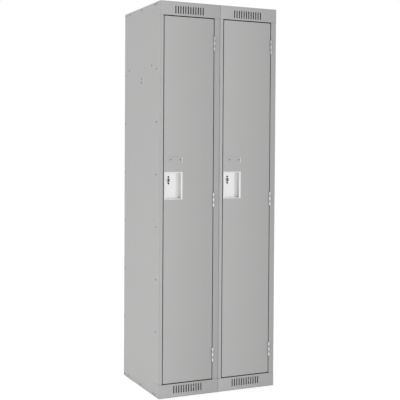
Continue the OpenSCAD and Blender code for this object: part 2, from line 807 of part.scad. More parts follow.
// Stacks through a wall, as [spots, face under the head, face under the nut], counted
// inwards from the outer face of an outer side
OUTER_STACKS = [
    [frame_spots, 0, frame_t + sheet_t],
    [concat(back_spots, tray_spots, shelf_spots), frame_t, frame_t + 2 * sheet_t],
    [hook_spots, frame_t, frame_t + sheet_t + hook_t]
];
// The same through the partition, counted from its middle
CENTRE_STACKS = [
    [frame_spots, -sheet_t / 2 - frame_t, sheet_t / 2 + frame_t],
    [concat(back_spots, tray_spots, shelf_spots), -1.5 * sheet_t, 1.5 * sheet_t],
    [hook_spots, -sheet_t / 2 - hook_t, sheet_t / 2 + hook_t]
];

module bolts(stacks)
    for (stack = stacks, spot = stack[0]) translate([0, spot[0], spot[1]]) {
        rod_x(bolt_head_r, [stack[1] - bolt_head_h, stack[1]], 0, 0);
        rod_x(bolt_r, [stack[1], stack[2] + nut_h + bolt_spare], 0, 0);
    }

module nuts(stacks)
    for (stack = stacks, spot = stack[0]) translate([stack[2], spot[0], spot[1]])
        rotate([0, 90, 0]) difference() {
            cylinder(r = nut_r, h = nut_h, $fn = 6);
            translate([0, 0, -past]) cylinder(r = bolt_r + pin_play, h = nut_h + 2 * past);
        }

module on_left_side() translate([-cabinet_w / 2, face_y, 0]) children();
module on_right_side() translate([cabinet_w / 2, face_y, 0]) mirror([1, 0, 0]) children();

module left_panel_bolts() color("darkgray") on_left_side() bolts(OUTER_STACKS);
module centre_panel_bolts() color("darkgray") in_cabinet() bolts(CENTRE_STACKS);
module right_panel_bolts() color("darkgray") on_right_side() bolts(OUTER_STACKS);
module left_panel_nuts() color("darkgray") on_left_side() nuts(OUTER_STACKS);
module centre_panel_nuts() color("darkgray") in_cabinet() nuts(CENTRE_STACKS);
module right_panel_nuts() color("darkgray") on_right_side() nuts(OUTER_STACKS);

left_side_panel();
centre_partition();
right_side_panel();
left_panel_bolts();
centre_panel_bolts();
right_panel_bolts();
left_panel_nuts();
centre_panel_nuts();
right_panel_nuts();
for (i = [0, 1]) {
    header(i);
    footer(i);
    latch_stile(i);
    hinge_stile(i);
    back_panel(i);
    top_panel(i);
    bottom_panel(i);
    hat_shelf(i);
    ceiling_hook(i);
    ceiling_hook_rivets(i);
    side_hooks(i);
    padlock_lug(i);
    frame_rivets(i);
    magnetic_catch(i);
    door_bumpers(i);
    frame_hinge_leaves(i);
    hinge_pins(i);
    door_hinge_leaves(i);
    door_skin(i);
    door_liner(i);
    door_stiffener(i);
    handle_pan(i);
    number_plate(i);
    plate_rivets(i);
    hinge_rivets(i);
}
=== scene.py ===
"""Finish and detail of a two-bay steel locker cabinet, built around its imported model.

Every sheet gets its bends and broken edges, every fastener its real head, and every surface
its enamel, plating, rubber or plastic. Lengths are in metres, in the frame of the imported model:
+Z up, the doors face -Y and hang on their right-hand edges.
"""

from __future__ import annotations

import logging
import math
from dataclasses import dataclass
from enum import Enum
from typing import Callable, Sequence

import bmesh
import bpy
from mathutils import Matrix, Vector


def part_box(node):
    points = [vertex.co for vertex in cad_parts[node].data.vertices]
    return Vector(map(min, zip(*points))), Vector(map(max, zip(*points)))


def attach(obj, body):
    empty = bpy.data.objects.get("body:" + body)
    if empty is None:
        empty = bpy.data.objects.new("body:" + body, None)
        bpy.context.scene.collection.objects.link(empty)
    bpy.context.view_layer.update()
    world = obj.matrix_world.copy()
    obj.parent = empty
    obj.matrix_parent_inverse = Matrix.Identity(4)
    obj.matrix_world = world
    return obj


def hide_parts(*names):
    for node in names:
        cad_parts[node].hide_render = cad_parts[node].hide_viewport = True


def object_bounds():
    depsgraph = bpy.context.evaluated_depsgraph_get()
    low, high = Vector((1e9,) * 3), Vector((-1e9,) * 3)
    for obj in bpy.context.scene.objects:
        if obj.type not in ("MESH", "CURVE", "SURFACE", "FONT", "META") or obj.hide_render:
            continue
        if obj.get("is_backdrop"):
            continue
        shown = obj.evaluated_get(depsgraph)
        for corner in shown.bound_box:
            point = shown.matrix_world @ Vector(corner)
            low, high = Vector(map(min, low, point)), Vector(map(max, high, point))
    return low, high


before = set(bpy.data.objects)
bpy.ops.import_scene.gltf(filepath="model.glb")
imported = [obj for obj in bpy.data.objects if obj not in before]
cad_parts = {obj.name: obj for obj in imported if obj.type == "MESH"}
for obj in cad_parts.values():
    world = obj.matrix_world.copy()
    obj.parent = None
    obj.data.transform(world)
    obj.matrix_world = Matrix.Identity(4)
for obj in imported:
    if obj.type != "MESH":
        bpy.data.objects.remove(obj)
cad_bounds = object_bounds()

LOG = logging.getLogger("locker_cabinet")
ROOT_BODY = "cabinet"
MM = 0.001

# Vertices this near to each other are one, and an edge this near to a height lies at it.
TINY = 1e-6
WELD = 0.002 * MM
FLUSH = 0.05 * MM

# Faces that meet at less than the first angle are one face, and at less than the second no fold.
FLAT_ANGLE = math.radians(0.4)
FOLD_ANGLE = math.radians(35)

# A face narrower than this many thicknesses of its sheet is a cut rim.
RIM_IN_SHEETS = 1.6

# Shading is smooth across angles under these, in degrees.
FORMED_SMOOTH = 40.0
TURNED_SMOOTH = 50.0

# Digits to which places and lengths, in metres, are compared.
PLACE_DIGITS = 5
LENGTH_DIGITS = 6

Triple = tuple[float, float, float]
Colour = Triple
Span = tuple[float, float]
Outline = tuple[Span, ...]
Box = tuple[Vector, Vector]

WHITE: Colour = (1.0, 1.0, 1.0)


class Side(Enum):
    """The two lockers of the bank."""

    LEFT = "left"
    RIGHT = "right"

    def node(self, piece: str) -> str:
        """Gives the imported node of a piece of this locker."""
        return f"{self.value}_{piece}"

    @property
    def door(self) -> str:
        """Gives the body that this locker's door moves with."""
        return f"{self.value}_door"


class Way(Enum):
    """The way in which a fastener's tail points."""

    LEFT = (-1.0, 0.0, 0.0)
    RIGHT = (1.0, 0.0, 0.0)
    BACK = (0.0, 1.0, 0.0)
    DOWN = (0.0, 0.0, -1.0)
    UP = (0.0, 0.0, 1.0)

    @property
    def turn(self) -> Matrix:
        """Gives the turn that lays a piece made along +Z along this way."""
        return Vector(self.value).to_track_quat("Z", "Y").to_matrix().to_4x4()

    def length(self, box: Box) -> float:
        """Measures a box along this way."""
        return abs((box[1] - box[0]).dot(Vector(self.value)))

    def foot(self, box: Box) -> Vector:
        """Gives the middle of the end of a box that this way points away from."""
        return middle(*box) - Vector(self.value) * self.length(box) / 2


class Crease(Enum):
    """What an edge of a folded sheet is."""

    BEND = "the outside of a fold"
    CUT = "the rim where the sheet was cut"
    FLAT = "an inside corner, or no real edge"


class Grain(Enum):
    """How many finer layers a noise has."""

    EVEN = 1.0
    SOFT = 2.0
    MOTTLED = 3.0
    STREAKED = 4.0


# ---------------------------------------------------------------------------------------------
# Shader expressions
# ---------------------------------------------------------------------------------------------


class Signal:
    """A shader socket that can be added to, multiplied and so on."""

    def __init__(self, graph: "Graph", socket: bpy.types.NodeSocket) -> None:
        """Wraps a socket.

        Args:
            graph: The graph that the socket is in.
            socket: An output socket.
        """
        self.graph = graph
        self.socket = socket

    def _sum(self, operation: str, first: object, second: object) -> "Signal":
        """Adds one Math node."""
        return self.graph.node("ShaderNodeMath", {"operation": operation}, {0: first, 1: second})

    def __add__(self, other: object) -> "Signal":
        """Adds."""
        return self._sum("ADD", self, other)

    __radd__ = __add__

    def __mul__(self, other: object) -> "Signal":
        """Multiplies."""
        return self._sum("MULTIPLY", self, other)

    __rmul__ = __mul__

    def __sub__(self, other: object) -> "Signal":
        """Subtracts from this signal."""
        return self._sum("SUBTRACT", self, other)

    def __rsub__(self, other: object) -> "Signal":
        """Subtracts this signal."""
        return self._sum("SUBTRACT", other, self)

    def __truediv__(self, other: object) -> "Signal":
        """Divides this signal."""
        return self._sum("DIVIDE", self, other)

    def __lt__(self, other: object) -> "Signal":
        """Is 1 where this signal is less."""
        return self._sum("LESS_THAN", self, other)

    def __gt__(self, other: object) -> "Signal":
        """Is 1 where this signal is greater."""
        return self._sum("GREATER_THAN", self, other)

    def swing(self, spread: float) -> "Signal":
        """Turns a value from 0 to 1 into one about 0, with that spread from end to end."""
        return (self - 0.5) * spread


class Graph:
    """The nodes of one material or world."""

    # A Mix node repeats its inputs and outputs for each kind of data. These are its colour ones.
    MIX_SHARE = 0
    MIX_COLOURS = (6, 7)
    MIX_RESULT = 2

    def __init__(self, owner: bpy.types.ID, shader: str = "Principled BSDF") -> None:
        """Starts on the shader that a new material or world has.

        Args:
            owner: The material or the world.
            shader: The name of its shader node.
        """
        owner.use_nodes = True
        self.owner = owner
        self.tree = owner.node_tree
        self.shader = self.tree.nodes[shader]

    @classmethod
    def material(cls, name: str) -> "Graph":
        """Starts a new material."""
        return cls(bpy.data.materials.new(name))

    def feed(self, target: bpy.types.NodeSocket, value: object) -> None:
        """Links a signal to a socket, or sets a plain value on it.

        Args:
            target: The input socket.
            value: A Signal, a number, a colour or a vector.
        """
        if isinstance(value, Signal):
            self.tree.links.new(value.socket, target)
        elif target.type == "RGBA" and len(value) == 3:
            target.default_value = (*value, 1.0)
        else:
            target.default_value = value

    def node(
        self, kind: str, settings: dict | None = None, sockets: dict | None = None,
        output: str | int = 0,
    ) -> Signal:
        """Adds a node.

        Args:
            kind: The node's type.
            settings: Its settings by name.
            sockets: Values or signals by input name or number.
            output: The output to hand back.

        Returns:
            The signal of that output.
        """
        made = self.tree.nodes.new(kind)
        for key, value in (settings or {}).items():
            setattr(made, key, value)
        for key, value in (sockets or {}).items():
            self.feed(made.inputs[key], value)
        return Signal(self, made.outputs[output])

    def place(self, stretch: Triple = (1.0, 1.0, 1.0)) -> Signal:
        """Gives object coordinates, stretched along each axis."""
        coordinates = self.node("ShaderNodeTexCoord", output="Object")
        return self.node("ShaderNodeMapping", sockets={"Vector": coordinates, "Scale": stretch})

    def noise(self, where: Signal, pitch: float, grain: Grain = Grain.SOFT) -> Signal:
        """Gives noise from 0 to 1.

        Args:
            where: The coordinates.
            pitch: The size of its largest lumps, in metres of those coordinates.
            grain: How many finer layers it has.

        Returns:
            The noise.
        """
        sockets = {"Vector": where, "Scale": 1.0 / pitch, "Detail": grain.value}
        return self.node("ShaderNodeTexNoise", sockets=sockets)

    def axis(self, where: Signal, name: str) -> Signal:
        """Gives one axis of a vector, by its letter."""
        return self.node("ShaderNodeSeparateXYZ", sockets={0: where}, output=name)

    def ramp(self, signal: Signal, low: float, high: float) -> Signal:
        """Goes smoothly from 0 at low to 1 at high.

        Args:
            signal: What is compared.
            low: Where it is still 0.
            high: Where it has reached 1.

        Returns:
            The ramp.
        """
        settings = {"interpolation_type": "SMOOTHSTEP"}
        sockets = {"Value": signal, "From Min": low, "From Max": high}
        return self.node("ShaderNodeMapRange", settings, sockets)

    def blend(self, share: Signal, first: object, second: object) -> Signal:
        """Mixes two colours, the second in the given share."""
        sockets = {self.MIX_SHARE: share, **dict(zip(self.MIX_COLOURS, (first, second)))}
        return self.node("ShaderNodeMix", {"data_type": "RGBA"}, sockets, self.MIX_RESULT)

    def bump(self, height: Signal, depth: float) -> None:
        """Turns a height from 0 to 1 into bump of that depth in metres."""
        sockets = {"Height": height, "Distance": depth, "Strength": 1.0}
        self.finish(Normal=self.node("ShaderNodeBump", sockets=sockets))

    def finish(self, **sockets: object) -> bpy.types.ID:
        """Sets the shader's sockets, with _ for a space in a name."""
        for key, value in sockets.items():
            self.feed(self.shader.inputs[key.replace("_", " ")], value)
        return self.owner


# ---------------------------------------------------------------------------------------------
# Finishes
# ---------------------------------------------------------------------------------------------


def shade(colour: Colour, factor: float) -> Colour:
    """Scales a colour's brightness."""
    return tuple(min(1.0, channel * factor) for channel in colour)


def grey(level: float) -> Colour:
    """Gives a neutral grey."""
    return (level, level, level)


@dataclass(frozen=True)
class Enamel:
    """Baked enamel on steel: orange peel, faint clouding and a little dust at the foot.

    Across each locker it is painted lighter at the latch side than in the middle and darker at the
    hinge side, as shade for how light falls. It is painted a highlight beyond a share of the width,
    near-black as shade in front of a depth, and partly near-black as shade deep in a door's slit.
    """

    name: str
    colour: Colour
    roughness: float = 0.4
    peel_pitch: float = 1.4 * MM
    peel_depth: float = 0.035 * MM
    peel_share: float = 0.65
    swell_pitch: float = 9 * MM
    cloud_pitch: float = 0.22
    clouding: float = 0.012
    patch_pitch: float = 30 * MM
    patch_roughness: float = 0.1
    dust_height: float = 0.035
    dust_cover: float = 0.35
    dust_shade: float = 0.78
    dust_roughness: float = 0.5
    # Painted shade: lighter at the latch side, darker at the hinge side, held at the middle on the
    # returns.
    painted_shade: float = 0.0
    returns: Span = (0.006, 0.02)
    # Painted shade: a share of near-black deep in a door's slit, faded in behind the face.
    slit_shade: float = 0.0
    slit_fade: Span = (2 * MM, 6 * MM)
    slit_depth: float = 24.8 * MM
    slit_lap: float = 2 * MM
    # Near-black painted as shade, in the slit and inside the closed door.
    shade_black: Colour = (0.015, 0.015, 0.016)
    shaded_in_front_of: float = -1.0
    # A highlight painted on the number plate's lip, beyond a share of the width.
    highlight_from: float = 1.0
    highlight_colour: Colour = (0.66, 0.66, 0.655)

    def make(self) -> bpy.types.Material:
        """Builds the material.

        Returns:
            The material.
        """
        graph = Graph.material(self.name)
        where = graph.place()
        peel = graph.noise(where, self.peel_pitch)
        swell = graph.noise(where, self.swell_pitch, Grain.EVEN)
        cloud = graph.noise(where, self.cloud_pitch, Grain.MOTTLED)
        patch = graph.noise(where, self.patch_pitch, Grain.MOTTLED)
        height = graph.axis(where, "Z")
        dust = (1 - graph.ramp(height, 0.0, self.dust_height)) * patch * self.dust_cover
        across = self._across(graph, where)
        # Painted shade: each locker lighter at its latch side and darker at its hinge side.
        enamel = graph.blend(
            self._share(graph, across), self._cloudy(graph, cloud, 1 + self.painted_shade),
            self._cloudy(graph, cloud, 1 - self.painted_shade),
        )
        depth = graph.axis(where, "Y")
        # Painted highlight on the number plate's lip.
        lip_highlighted = graph.blend(across > self.highlight_from, enamel, self.highlight_colour)
        # Painted shade: near-black in front of a depth, inside the closed door.
        inside_shaded = graph.blend(depth < self.shaded_in_front_of, lip_highlighted, self.shade_black)
        # Painted shade: near-black blended in deep in a door's slit.
        slit_shade_amount = self._slit_shade_mask(graph, across, depth, height) * self.slit_shade
        slit_shaded = graph.blend(slit_shade_amount, inside_shaded, self.shade_black)
        dusty = graph.blend(dust, slit_shaded, shade(self.colour, self.dust_shade))
        roughness = self.roughness + patch.swing(self.patch_roughness) + dust * self.dust_roughness
        graph.bump(peel * self.peel_share + swell * (1 - self.peel_share), self.peel_depth)
        return graph.finish(Base_Color=dusty, Roughness=roughness)

    def _cloudy(self, graph: Graph, cloud: Signal, factor: float) -> Signal:
        """Gives the clouded colour, scaled in brightness by the painted shade across a locker."""
        low, high = factor * (1 - self.clouding), factor * (1 + self.clouding)
        return graph.blend(cloud, shade(self.colour, low), shade(self.colour, high))

    def _share(self, graph: Graph, across: Signal) -> Signal:
        """Goes from 0 to 1 across a locker, with the returns on its sides at the middle painted-shade
        tone.

        Args:
            graph: The material's graph.
            across: Where a point is across its locker, from 0 to 1.

        Returns:
            The share of the darker painted-shade tone.
        """
        near, far = self.returns
        front = graph.ramp(across, near, far) * (1 - graph.ramp(across, 1 - far, 1 - near))
        return (across - 0.5) * front + 0.5

    def _slit_shade_mask(self, graph: Graph, across: Signal, depth: Signal, height: Signal) -> Signal:
        """Is 1 where shade is painted on what lines the slit round a door, from just behind the face
        to the stop.

        Args:
            graph: The material's graph.
            across: Where a point is across its locker, from 0 to 1.
            depth: How far back it is.
            height: How high it is.

        Returns:
            The mask.
        """
        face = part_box(Side.LEFT.node("door_skin"))[0][1]
        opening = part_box(Side.LEFT.node("latch_stile"))
        fade = graph.ramp(depth, face + self.slit_fade[0], face + self.slit_fade[1])
        behind = fade * (depth < face + self.slit_depth)
        beside = (across > self.returns[1]) * (across < 1 - self.returns[1])
        low, high = opening[0][2] - self.slit_lap, opening[1][2] + self.slit_lap
        return behind * beside * (height > low) * (height < high)

    @staticmethod
    def _across(graph: Graph, where: Signal) -> Signal:
        """Goes from 0 at each locker's latch side to 1 at its hinge side.

        Args:
            graph: The material's graph.
            where: The coordinates.

        Returns:
            Where a point is across its locker.
        """
        along = graph.axis(where, "X")
        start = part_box(Side.LEFT.node("header"))[0][0]
        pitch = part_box(Side.RIGHT.node("header"))[0][0] - start
        sockets = {0: along, 1: start + pitch, 2: start}
        return (graph.node("ShaderNodeMath", {"operation": "WRAP"}, sockets) - start) / pitch


@dataclass(frozen=True)
class BrushedSteel:
    """Steel brushed along one axis."""

    name: str
    colour: Colour
    roughness: float
    grain: Triple = (1.0, 1.0, 0.012)
    grain_pitch: float = 0.45 * MM
    grain_share: float = 0.6
    grain_roughness: float = 0.16
    grains_in_band: float = 12
    smear_pitch: float = 25 * MM
    smear_roughness: float = 0.08
    depth: float = 0.012 * MM
    contrast: float = 0.06

    def make(self) -> bpy.types.Material:
        """Builds the material.

        Returns:
            The material.
        """
        graph = Graph.material(self.name)
        brushed = graph.place(self.grain)
        streak = graph.noise(brushed, self.grain_pitch, Grain.STREAKED)
        band = graph.noise(brushed, self.grains_in_band * self.grain_pitch)
        smear = graph.noise(graph.place(), self.smear_pitch, Grain.MOTTLED)
        mark = streak * self.grain_share + band * (1 - self.grain_share)
        colour = graph.blend(
            mark, shade(self.colour, 1 - self.contrast), shade(self.colour, 1 + self.contrast)
        )
        roughness = (
            self.roughness + mark.swing(self.grain_roughness) + smear.swing(self.smear_roughness)
        )
        graph.bump(mark, self.depth)
        return graph.finish(Base_Color=colour, Roughness=roughness, Metallic=1.0)


@dataclass(frozen=True)
class Plating:
    """Zinc or oxide plating: a faint crystal pattern and duller patches."""

    name: str
    colour: Colour
    roughness: float
    crystal_pitch: float = 1.6 * MM
    crystal_share: float = 0.35
    patch_pitch: float = 6 * MM
    grain_pitch: float = 0.5 * MM
    grain_depth: float = 0.01 * MM
    dull: float = 0.12
    dull_roughness: float = 0.2

    def make(self) -> bpy.types.Material:
        """Builds the material.

        Returns:
            The material.
        """
        graph = Graph.material(self.name)
        where = graph.place()
        crystal = graph.node(
            "ShaderNodeTexVoronoi", {"feature": "F1"},
            {"Vector": where, "Scale": 1.0 / self.crystal_pitch}, "Color",
        )
        value = graph.node("ShaderNodeSeparateColor", sockets={0: crystal})
        patch = graph.noise(where, self.patch_pitch, Grain.MOTTLED)
        tone = value * self.crystal_share + patch * (1 - self.crystal_share)
        colour = graph.blend(
            tone, shade(self.colour, 1 - self.dull), shade(self.colour, 1 + self.dull)
        )
        graph.bump(graph.noise(where, self.grain_pitch), self.grain_depth)
        roughness = self.roughness + tone.swing(self.dull_roughness)
        return graph.finish(Base_Color=colour, Roughness=roughness, Metallic=1.0)


@dataclass(frozen=True)
class Moulded:
    """Moulded rubber or plastic with a fine grain."""

    name: str
    colour: Colour
    roughness: float
    grain_pitch: float = 0.5 * MM
    depth: float = 0.03 * MM
    rub_pitch: float = 7 * MM
    rub_tones: Span = (0.8, 1.3)
    rub_roughness: float = 0.15

    def make(self) -> bpy.types.Material:
        """Builds the material.

        Returns:
            The material.
        """
        graph = Graph.material(self.name)
        where = graph.place()
        grain = graph.noise(where, self.grain_pitch, Grain.MOTTLED)
        rub = graph.noise(where, self.rub_pitch)
        dark, light = self.rub_tones
        colour = graph.blend(rub, shade(self.colour, dark), shade(self.colour, light))
        graph.bump(grain, self.depth)
        return graph.finish(
            Base_Color=colour, Roughness=self.roughness + rub.swing(self.rub_roughness)
        )


# The one enamel of the whole cabinet, and the shade painted on it across a locker and in a door's
# slit.
GREY_ENAMEL: Colour = (0.43, 0.43, 0.427)
PAINTED_SHADE = 0.085
SLIT_SHADE = 0.7

# Where the number plate's bent lip starts, as a share of a locker's width; beyond it a highlight is
# painted.
PLATE_LIP = 0.3646

# The middle of the liner's sheet. In front of it is the closed inside of the door, painted near-black
# as shade.
LINER_SHEET = 0.8 * MM
LINER_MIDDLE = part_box(Side.LEFT.node("door_liner"))[1][1] - LINER_SHEET / 2


class Finish(Enum):
    """The finishes of the cabinet, each under its material slot."""

    # The frame and the door: painted shade across each locker and deep in the slit.
    FRAME = Enamel("frame_enamel", GREY_ENAMEL, painted_shade=PAINTED_SHADE, slit_shade=SLIT_SHADE)
    DOOR = Enamel("door_enamel", GREY_ENAMEL, painted_shade=PAINTED_SHADE, slit_shade=SLIT_SHADE)
    BODY = Enamel("body_enamel", GREY_ENAMEL)
    # The plate: painted shade across each locker and a painted highlight on its lip.
    PLATE = Enamel("plate_enamel", GREY_ENAMEL, painted_shade=PAINTED_SHADE, highlight_from=PLATE_LIP)
    # The liner: painted near-black shade on the closed inside of the door.
    LINER = Enamel("liner_enamel", GREY_ENAMEL, shaded_in_front_of=LINER_MIDDLE)
    HINGE = Enamel("hinge_enamel", (0.46, 0.46, 0.457), roughness=0.34)
    STAINLESS = BrushedSteel("stainless", (0.76, 0.76, 0.756), 0.46)
    ZINC = Plating("zinc_plate", (0.74, 0.75, 0.76), 0.3)
    LUG = Plating("lug_steel", (0.2, 0.2, 0.202), 0.42)
    RIVET = Plating("rivet_steel", (0.08, 0.08, 0.08), 0.5)
    BOLT = Plating("bolt_steel", (0.3, 0.3, 0.3), 0.42)
    PLASTIC = Moulded("catch_plastic", (0.05, 0.05, 0.054), 0.5)
    RUBBER = Moulded("bumper_rubber", (0.035, 0.035, 0.035), 0.75)

    @property
    def slot(self) -> str:
        """Gives its material slot; the number plate and the liner have the door's."""
        return Finish.DOOR.slot if self in (Finish.PLATE, Finish.LINER) else self.value.name


class Paintshop:
    """Makes each finish once and puts it on pieces."""

    def __init__(self) -> None:
        """Starts with no finish made."""
        self._made: dict[Finish, bpy.types.Material] = {}

    def coat(self, piece: bpy.types.Object, finish: Finish) -> None:
        """Gives a whole piece one finish.

        Args:
            piece: The piece.
            finish: Its finish.
        """
        if finish not in self._made:
            self._made[finish] = finish.value.make()
        piece.data.materials.clear()
        piece.data.materials.append(self._made[finish])


# ---------------------------------------------------------------------------------------------
# Hand tools
# ---------------------------------------------------------------------------------------------


def middle(lo: Vector, hi: Vector) -> Vector:
    """Gives the middle of a box."""
    return (lo + hi) / 2


def width_across(face: bmesh.types.BMFace, edge: bmesh.types.BMEdge) -> float:
    """Measures how wide a face is, square to one of its edges.

    Args:
        face: The face.
        edge: The edge.

    Returns:
        The width in metres.
    """
    along = (edge.verts[1].co - edge.verts[0].co).normalized()
    square = face.normal.cross(along)
    places = [vert.co.dot(square) for vert in face.verts]
    return max(places) - min(places)


def crease_of(edge: bmesh.types.BMEdge, sheet: float) -> Crease:
    """Tells what an edge of a folded sheet is.

    Args:
        edge: The edge.
        sheet: The sheet's thickness.

    Returns:
        The kind of crease.
    """
    if not edge.is_convex or edge.calc_face_angle(0.0) < FOLD_ANGLE:
        return Crease.FLAT
    narrowest = min(width_across(face, edge) for face in edge.link_faces)
    return Crease.BEND if narrowest > RIM_IN_SHEETS * sheet else Crease.CUT


def in_joint(edge: bmesh.types.BMEdge, joints: Sequence[float]) -> bool:
    """Tells whether a level edge lies at the height of a joint."""
    heights = [vert.co.z for vert in edge.verts]
    return any(max(abs(height - joint) for height in heights) < FLUSH for joint in joints)


class Bench:
    """Tools for shaping one piece at a time, with everything else deselected."""

    @staticmethod
    def clear() -> None:
        """Leaves edit mode and deselects every object."""
        if bpy.context.object is not None and bpy.context.object.mode != "OBJECT":
            bpy.ops.object.mode_set(mode="OBJECT")
        bpy.ops.object.select_all(action="DESELECT")

    @staticmethod
    def take(piece: bpy.types.Object) -> None:
        """Selects one piece alone and makes it the active one.

        Args:
            piece: The piece.
        """
        Bench.clear()
        piece.select_set(True)
        bpy.context.view_layer.objects.active = piece

    @staticmethod
    def block(name: str, lo: Vector, hi: Vector) -> bpy.types.Object:
        """Adds a block between two corners.

        Args:
            name: The block's name.
            lo: Its lowest corner.
            hi: Its highest corner.

        Returns:
            The block.
        """
        Bench.clear()
        bpy.ops.mesh.primitive_cube_add(size=1, location=middle(lo, hi))
        piece = bpy.context.object
        piece.name = name
        piece.scale = hi - lo
        Bench.settle(piece)
        return piece

    @staticmethod
    def bar(name: str, radius: float, span: Span, sides: int) -> bpy.types.Object:
        """Adds a round or many-sided bar along Z, about the Z axis.

        Args:
            name: The bar's name.
            radius: Its radius, out to its corners.
            span: Heights of its two ends.
            sides: How many sides it has.

        Returns:
            The bar.
        """
        Bench.clear()
        bpy.ops.mesh.primitive_cylinder_add(
            vertices=sides, radius=radius, depth=span[1] - span[0],
            location=(0, 0, (span[0] + span[1]) / 2),
        )
        piece = bpy.context.object
        piece.name = name
        Bench.settle(piece)
        return piece

    @staticmethod
    def settle(piece: bpy.types.Object) -> None:
        """Moves a piece's place, turn and size into its mesh."""
        Bench.take(piece)
        bpy.ops.object.transform_apply(location=True, rotation=True, scale=True)

    @staticmethod
    def sheet_copy(node: str, name: str) -> bpy.types.Object:
        """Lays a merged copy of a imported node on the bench, with flat faces made whole.

        Args:
            node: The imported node.
            name: The copy's name.

        Returns:
            The copy.
        """
        Bench.clear()
        piece = bpy.data.objects.new(name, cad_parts[node].data.copy())
        bpy.context.scene.collection.objects.link(piece)
        Bench.take(piece)
        bpy.ops.object.mode_set(mode="EDIT")
        bpy.ops.mesh.select_all(action="SELECT")
        bpy.ops.mesh.customdata_custom_splitnormals_clear()
        bpy.ops.mesh.remove_doubles(threshold=WELD)
        bpy.ops.mesh.dissolve_limited(angle_limit=FLAT_ANGLE)
        bpy.ops.object.mode_set(mode="OBJECT")
        return piece

    @staticmethod
    def pick_edges(piece: bpy.types.Object, wanted: Callable[[bmesh.types.BMEdge], bool]) -> int:
        """Goes into edit mode and selects the wanted edges.

        Args:
            piece: The piece.
            wanted: Tells whether an edge is selected.

        Returns:
            How many edges are selected.
        """
        Bench.take(piece)
        bpy.ops.object.mode_set(mode="EDIT")
        bpy.context.tool_settings.mesh_select_mode = (False, True, False)
        bpy.ops.mesh.select_all(action="DESELECT")
        mesh = bmesh.from_edit_mesh(piece.data)
        mesh.normal_update()
        chosen = [edge for edge in mesh.edges if wanted(edge)]
        for edge in chosen:
            edge.select_set(True)
        bmesh.update_edit_mesh(piece.data)
        return len(chosen)

    @staticmethod
    def round_edges(
        piece: bpy.types.Object, wanted: Callable[[bmesh.types.BMEdge], bool],
        radius: float, segments: int,
    ) -> None:
        """Rounds the wanted edges of a piece.

        Args:
            piece: The piece.
            wanted: Tells whether an edge is rounded.
            radius: The radius.
            segments: Facets across the round.
        """
        if Bench.pick_edges(piece, wanted):
            bpy.ops.mesh.bevel(
                offset_type="OFFSET", offset=radius, segments=segments, affect="EDGES",
                clamp_overlap=False, loop_slide=False,
            )
        bpy.ops.object.mode_set(mode="OBJECT")

    @staticmethod
    def modify(piece: bpy.types.Object, kind: str, **settings: object) -> None:
        """Adds a modifier, sets it and applies it.

        Args:
            piece: The piece.
            kind: The modifier's type.
            settings: Its settings by name.
        """
        Bench.take(piece)
        modifier = piece.modifiers.new(kind.lower(), kind)
        for key, value in settings.items():
            setattr(modifier, key, value)
        bpy.ops.object.modifier_apply(modifier=modifier.name)

    @staticmethod
    def smooth(piece: bpy.types.Object, angle: float = FORMED_SMOOTH) -> None:
        """Shades a piece smooth, with flat faces kept flat and edges over the angle sharp.

        Args:
            piece: The piece.
            angle: The angle in degrees.
        """
        Bench.take(piece)
        bpy.ops.object.shade_smooth_by_angle(angle=math.radians(angle))
        Bench.modify(piece, "WEIGHTED_NORMAL", keep_sharp=True)

    @staticmethod
    def spun(name: str, outline: Sequence[Span], steps: int) -> bpy.types.Object:
        """Turns an outline about the Z axis into a closed solid.

        Args:
            name: The piece's name.
            outline: Its points as (radius, height), from one end on the axis to the other.
            steps: Sides of the turned piece.

        Returns:
            The piece.
        """
        Bench.clear()
        bpy.ops.mesh.primitive_plane_add(size=1)
        piece = bpy.context.object
        piece.name = name
        bpy.ops.object.mode_set(mode="EDIT")
        mesh = bmesh.from_edit_mesh(piece.data)
        bmesh.ops.delete(mesh, geom=list(mesh.verts), context="VERTS")
        verts = [mesh.verts.new((radius, 0.0, height)) for radius, height in outline]
        for first, second in zip(verts, verts[1:]):
            mesh.edges.new((first, second))
        bmesh.update_edit_mesh(piece.data)
        bpy.ops.mesh.select_all(action="SELECT")
        bpy.ops.mesh.spin(steps=steps, angle=2 * math.pi, center=(0, 0, 0), axis=(0, 0, 1))
        bpy.ops.mesh.select_all(action="SELECT")
        bpy.ops.mesh.remove_doubles(threshold=TINY)
        bpy.ops.mesh.normals_make_consistent(inside=False)
        bpy.ops.object.mode_set(mode="OBJECT")
        return piece

    @staticmethod
    def cut(piece: bpy.types.Object, cutter: bpy.types.Object) -> None:
        """Takes a cutter's volume out of a piece and puts the cutter away."""
        Bench.modify(piece, "BOOLEAN", object=cutter, operation="DIFFERENCE", solver="EXACT")
        bpy.data.objects.remove(cutter)

    @staticmethod
    def join(name: str, pieces: Sequence[bpy.types.Object]) -> bpy.types.Object:
        """Joins pieces into one and names it.

        Args:
            name: The name of the whole.
            pieces: The pieces, which must be at the origin.

        Returns:
            The joined piece.
        """
        Bench.take(pieces[0])
        for piece in pieces[1:]:
            piece.select_set(True)
        if len(pieces) > 1:
            bpy.ops.object.join()
        pieces[0].name = name
        return pieces[0]

    @staticmethod
    def copy(model: bpy.types.Object, place: Matrix) -> bpy.types.Object:
        """Lays a copy of a model, with its own mesh, at a place.

        Args:
            model: What is copied.
            place: The copy's place and turn.

        Returns:
            The copy.
        """
        copy = bpy.data.objects.new(model.name, model.data.copy())
        copy.data.transform(place)
        bpy.context.scene.collection.objects.link(copy)
        return copy


